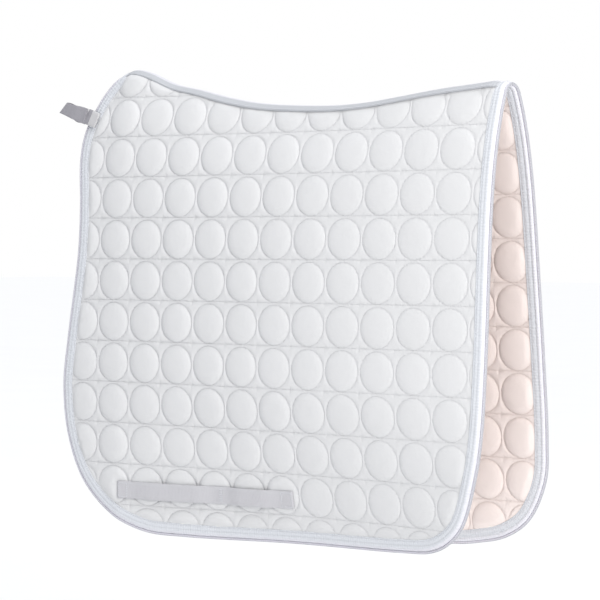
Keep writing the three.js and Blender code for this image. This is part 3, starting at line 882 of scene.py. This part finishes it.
def add_spine_tape(sides, name, node, face):
    """A tape over or under the ridge, stitched near both of its edges."""
    downs = [RIDGE_TAPE, RIDGE_TAPE * 0.8, RIDGE_TAPE * 0.5, RIDGE_TAPE * 0.2]
    across = [(-1, down) for down in downs] + [(0, 0.0)] + [(1, down) for down in reversed(downs)]
    widths = [sign * down for sign, down in across]

    def row(x, level):
        line = []
        for sign, down in across:
            side = sides["left" if sign < 0 else "right"]
            point, _ = side.at(x, side.ridge_at(x) - down, level)
            line.append(point)
        return line

    points, uv = [], []
    stations = np.arange(SPINE_TAPE_X[0], SPINE_TAPE_X[1] + 0.1, SPINE_TAPE_STEP)
    for x in stations:
        level = spine_tape_level(x, face)
        points.append(row(x, level + TAPE_THICK * face) + row(x, level)[::-1])
        uv.extend([(x, w) for w in widths + widths[::-1]])
    faces = ring_faces(len(stations), 2 * len(across))
    piece = outward(new_piece(name, np.array(points).reshape(-1, 3), faces, uv))
    dress(piece, "satin")
    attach(piece, "spine")
    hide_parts(node)

    def seam_place(side, x):
        return side.at(x, side.ridge_at(x) - (RIDGE_TAPE - 2.0), spine_tape_level(x, face) + TAPE_THICK * face)

    starts, ends, normals = [], [], []
    for side in sides.values():
        for x in np.arange(SPINE_TAPE_X[0] + 8, SPINE_TAPE_X[1] - 8, SPINE_STITCH):
            start, normal = seam_place(side, x)
            starts.append(start)
            ends.append(seam_place(side, x + SPINE_STITCH_SEEN)[0])
            normals.append(normal * face)
    threads = stitch_mesh(f"{name}_stitches", starts, ends, normals)
    dress(threads, "thread")
    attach(threads, "spine")


# ---- Girth keepers ----

KEEPER_STITCH = 2.6


def ribbon(name, centres, across, normals, thick):
    """A strap of even width through rows of points, with rounded edges. Arrays are (stations, 3)."""
    upper = [(-0.985, 0.38), (-0.93, 0.5), (-0.5, 0.5), (0, 0.5), (0.5, 0.5), (0.93, 0.5), (0.985, 0.38)]
    section = [(-1, 0), *upper, (1, 0), *((a, -b) for a, b in reversed(upper))]
    run = np.concatenate([[0], np.cumsum(np.linalg.norm(np.diff(centres, axis=0), axis=1))])
    half = np.linalg.norm(across, axis=1).mean()
    stations = range(len(centres))
    points = [centres[i] + across[i] * a + normals[i] * thick * b for i in stations for a, b in section]
    uv = [(run[i], a * half) for i in stations for a, _ in section]
    return outward(new_piece(name, points, ring_faces(len(centres), len(section)), uv))


def add_keeper(side):
    """The webbing sewn low on the flap, with its stitches."""
    x = np.arange(KEEPER_ROUTE[0][0], KEEPER_ROUTE[-1][0] + 0.1, 2.0)
    level = keeper_level(x)
    top, n1 = side.at(x, side.flat_v(x, keeper_z(x) + KEEPER_WIDTH / 2), level)
    low, n2 = side.at(x, side.flat_v(x, keeper_z(x) - KEEPER_WIDTH / 2), level)
    normal = n1 + n2
    normal /= np.linalg.norm(normal, axis=1, keepdims=True)
    strap = ribbon(f"{side.name}_keeper_webbing", (top + low) / 2, (top - low) / 2, normal, KEEPER_THICK)
    dress(strap, "keeper")
    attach(strap, f"{side.name}_flap")
    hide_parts(f"{side.name}_girth_keeper")

    # Boxes of stitches at both ends, and one bar of them between the bays.
    starts, ends, normals = [], [], []

    def stitch_line(a, b):
        count = max(1, round(math.dist(a, b) / KEEPER_STITCH))
        for k in range(count):
            ends_of = []
            for t in (k + 0.12, k + 0.88):
                along, up = np.array(a) + (np.array(b) - a) * t / count
                x = np.array([along])
                v = side.flat_v(x, keeper_z(x) + up)
                place, n = side.at(x, v, keeper_level(x) + KEEPER_THICK / 2)
                ends_of.append(place.ravel())
            starts.append(ends_of[0])
            ends.append(ends_of[1])
            normals.append(n.ravel())

    reach = KEEPER_WIDTH / 2 - 2.2
    for x0, x1 in ((-296, -284), (-57, -42)):
        stitch_line((x0, -reach), (x0, reach))
        stitch_line((x0, reach), (x1, reach))
        stitch_line((x1, reach), (x1, -reach))
        stitch_line((x1, -reach), (x0, -reach))
    for x0 in (-148.5, -147, -145.5):
        stitch_line((x0, -reach), (x0, reach))
    threads = stitch_mesh(f"{side.name}_keeper_stitches", starts, ends, normals)
    dress(threads, "thread")
    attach(threads, f"{side.name}_flap")


# ---- Front tabs ----

TAB_WIDTH = 20.0
TAB_THICK = 1.4
TAB_Z = 9.5
TAB_LENGTH = 40.0
TAB_GAP = 6.4
TAB_SEWN = 19.5
TAB_PATCH = 7.0
# How far the root's webbing and the patch over it stand out, and where the loop's nearer layer hangs lower.
TAB_ROOT_LEVEL = 5.9
TAB_PATCH_LEVEL = 6.3
TAB_SAG = 4.2
TAB_RISE = {"left": math.radians(18), "right": math.radians(-6)}
# Half the fold at the tip, which lies aslant.
TAB_TIP = {"left": (6.6, 0, 6.1), "right": (2, 0, 9)}


def add_tab(side):
    """The webbing loop in front of the withers, and its end sewn over the binding."""
    rise = TAB_RISE[side.name]
    low, high = (np.array(p) * 1000 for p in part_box(f"{side.name}_tab_loop"))
    forward = np.array([-math.cos(rise), 0, math.sin(rise)])
    width = np.array([math.sin(rise), 0, math.cos(rise)])
    out = np.array([0, side.sign, 0])
    root = np.array([high[0] - TAB_WIDTH / 2 * abs(math.sin(rise)), (low[1] + high[1]) / 2, TAB_Z])
    tip = TAB_GAP / 2 + TAB_THICK / 2
    straight = TAB_LENGTH - tip - TAB_THICK / 2
    path = [(0, 0.8), (7, 1.1), (17, tip * 0.9), (26, tip), (straight, tip)]
    turns = np.linspace(0.35, math.pi - 0.35, 8)
    bend = [(straight + tip * math.sin(t), tip * math.cos(t)) for t in turns]
    line = catmull(path + bend + [(a, -b) for a, b in reversed(path)], 5)
    tangent = np.gradient(line, axis=0)
    tangent /= np.linalg.norm(tangent, axis=1, keepdims=True)
    turned = smoothstep((line[:, :1] - 4) / (TAB_LENGTH - 8))
    across = width * TAB_WIDTH / 2 * (1 - turned) + np.array(TAB_TIP[side.name]) * turned
    # The layer nearer the horse hangs lower where it leaves the edge.
    rear = smoothstep(-line[:, 1:] / tip) * (1 - smoothstep(line[:, :1] / TAB_LENGTH))
    centres = root + forward * line[:, :1] + out * line[:, 1:] - width * TAB_SAG * rear
    normals = out * tangent[:, :1] - forward * tangent[:, 1:]
    loop = ribbon(f"{side.name}_tab_webbing", centres, across, normals, TAB_THICK)
    dress(loop, "tab")
    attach(loop, f"{side.name}_tab")
    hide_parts(f"{side.name}_tab_loop")

    # The end sewn over the binding carries on in the tab's direction, with a pale patch over its last part.
    for part, material, start, stop, level in (
        ("root", "tab", -0.5, TAB_PATCH + 1, TAB_ROOT_LEVEL),
        ("end", "tab_end", TAB_PATCH, TAB_SEWN, TAB_PATCH_LEVEL),
    ):
        middle = root - forward * np.linspace(start, stop, 12)[:, None]
        rows = []
        for end in (1, -1):
            p = middle + width * end * (TAB_WIDTH / 2 - 0.6)
            p[:, 1] = side.sign * (half_width(side.name, p[:, 0], p[:, 2]) + level)
            rows.append(p)
        top, bottom = rows
        normal = np.tile(out.astype(float), (len(top), 1))
        name = f"{side.name}_tab_{part}_webbing"
        strap = ribbon(name, (top + bottom) / 2, (top - bottom) / 2, normal, 2 * TAB_THICK)
        dress(strap, material)
        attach(strap, "spine")
    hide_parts(f"{side.name}_tab_sewn_end")


# ---- The stage ----

FLOOR_Z = -0.75
FLOOR_REACH = 30
# The camera stands off the tail's left and looks down a little: a place in metres, and turns in degrees.
CAMERA_PLACE = (1.6948, -2.1893, -0.151)
CAMERA_AZIMUTH = 38.61
CAMERA_DOWN = 1.328
CAMERA_LENS = 142.6


def add_camera():
    data = bpy.data.cameras.new("camera")
    data.lens = CAMERA_LENS
    data.sensor_width = 36
    camera = bpy.data.objects.new("camera", data)
    camera.location = CAMERA_PLACE
    camera.rotation_euler = (math.radians(90 - CAMERA_DOWN), 0, math.radians(CAMERA_AZIMUTH))
    bpy.context.scene.collection.objects.link(camera)
    bpy.context.scene.camera = camera


def add_floor():
    mesh = bpy.data.meshes.new("floor")
    corners = [(FLOOR_REACH * a, FLOOR_REACH * b, FLOOR_Z) for a, b in ((-1, -1), (1, -1), (1, 1), (-1, 1))]
    mesh.from_pydata(corners, [], [(0, 1, 2, 3)])
    floor = bpy.data.objects.new("floor", mesh)
    s = Shader("floor", (0.93, 0.93, 0.93), 0.9)
    tone = s.mixed(s.noise(s.place(), 3, detail=4), (0.93, 0.93, 0.93), (0.9, 0.9, 0.9))
    floor.data.materials.append(s.finish(tone))
    bpy.context.scene.collection.objects.link(floor)


def add_soft_sun(name, azimuth, elevation, spread, strength):
    """A far softbox. Azimuth 0 faces the left flap, and 90 is behind the horse. Angles are in degrees."""
    data = bpy.data.lights.new(name, "SUN")
    data.angle = math.radians(spread)
    data.energy = strength
    light = bpy.data.objects.new(name, data)
    a, e = math.radians(azimuth), math.radians(elevation)
    towards = Vector((-math.sin(a) * math.cos(e), math.cos(a) * math.cos(e), -math.sin(e)))
    light.rotation_mode = "QUATERNION"
    light.rotation_quaternion = towards.to_track_quat("-Z", "Y")
    bpy.context.scene.collection.objects.link(light)


def add_softbox(name, place, aim, size, power, colour):
    """A round light at a place in metres, turned towards another."""
    data = bpy.data.lights.new(name, "AREA")
    data.shape = "DISK"
    data.size = size
    data.energy = power
    data.color = colour
    light = bpy.data.objects.new(name, data)
    light.location = place
    light.rotation_mode = "QUATERNION"
    light.rotation_quaternion = (Vector(aim) - Vector(place)).to_track_quat("-Z", "Y")
    bpy.context.scene.collection.objects.link(light)


def add_world():
    world = bpy.data.worlds.new("studio")
    world.use_nodes = True
    bpy.context.scene.world = world
    nodes, links = world.node_tree.nodes, world.node_tree.links
    ambient = nodes["Background"]
    ambient.inputs["Color"].default_value = (0.925, 0.955, 1.0, 1)
    ambient.inputs["Strength"].default_value = 0.36
    seen = nodes.new("ShaderNodeBackground")
    seen.inputs["Color"].default_value = (1, 1, 1, 1)
    mix = nodes.new("ShaderNodeMixShader")
    links.new(nodes.new("ShaderNodeLightPath").outputs["Is Camera Ray"], mix.inputs["Fac"])
    links.new(ambient.outputs[0], mix.inputs[1])
    links.new(seen.outputs[0], mix.inputs[2])
    links.new(mix.outputs[0], nodes["World Output"].inputs["Surface"])


def light_scene():
    add_world()
    add_softbox("key", (2.1, -1.25, 0.55), (-0.05, 0, -0.22), 0.9, 42, (1.0, 0.97, 0.925))
    add_soft_sun("top", 60, 82, 60, 2.45)
    bpy.context.scene.view_settings.view_transform = "Standard"


# ---- Everything together ----

add_camera()
add_floor()
light_scene()

SIDES = {name: Side(name) for name in SIGN}
for pad_side in SIDES.values():
    cloth = quilt_layout(pad_side, cell_template(SPOKES, INNER_RINGS, OUTER_RINGS))
    add_cloth(pad_side, cloth, 1, "cover", f"cover_{pad_side.name}")
    add_cloth(pad_side, cloth, -1, "lining", f"lining_{pad_side.name}")
    add_wadding(pad_side)
    add_bound_edge(pad_side)
    add_keeper(pad_side)
    add_tab(pad_side)
add_spine_tape(SIDES, "spine_cover_tape", "spine_tape_outer", 1)
add_spine_tape(SIDES, "spine_under_tape", "spine_tape_inner", -1)
